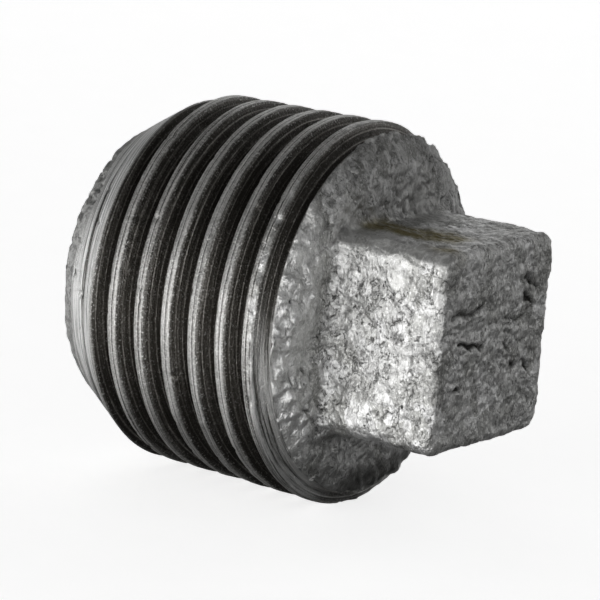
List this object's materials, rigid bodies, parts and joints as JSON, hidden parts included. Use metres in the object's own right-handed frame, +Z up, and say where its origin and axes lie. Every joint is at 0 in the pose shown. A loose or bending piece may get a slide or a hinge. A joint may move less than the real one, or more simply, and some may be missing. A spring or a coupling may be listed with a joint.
{
  "type": "square-head pipe plug",
  "caption": "Galvanised malleable-iron pipe plug with an external taper pipe thread, a rounded shoulder and a square wrench head, cored from the threaded end.",
  "frame": {"origin": "on the thread's axis, at the plane of the threaded end", "axes": "+X along the axis from the threaded end towards the square head, +Z up and square to one wrench flat, +Y square to another"},
  "size_m": [0.0234, 0.0212, 0.0212],
  "materials": {
    "galvanised_iron": "rough cast zinc-coated skin, with the thread and lead chamfer cut bare and oiled dark"
  },
  "bodies": {
    "root": {"square_head_plug": "galvanised_iron"}
  },
  "joints": []
}
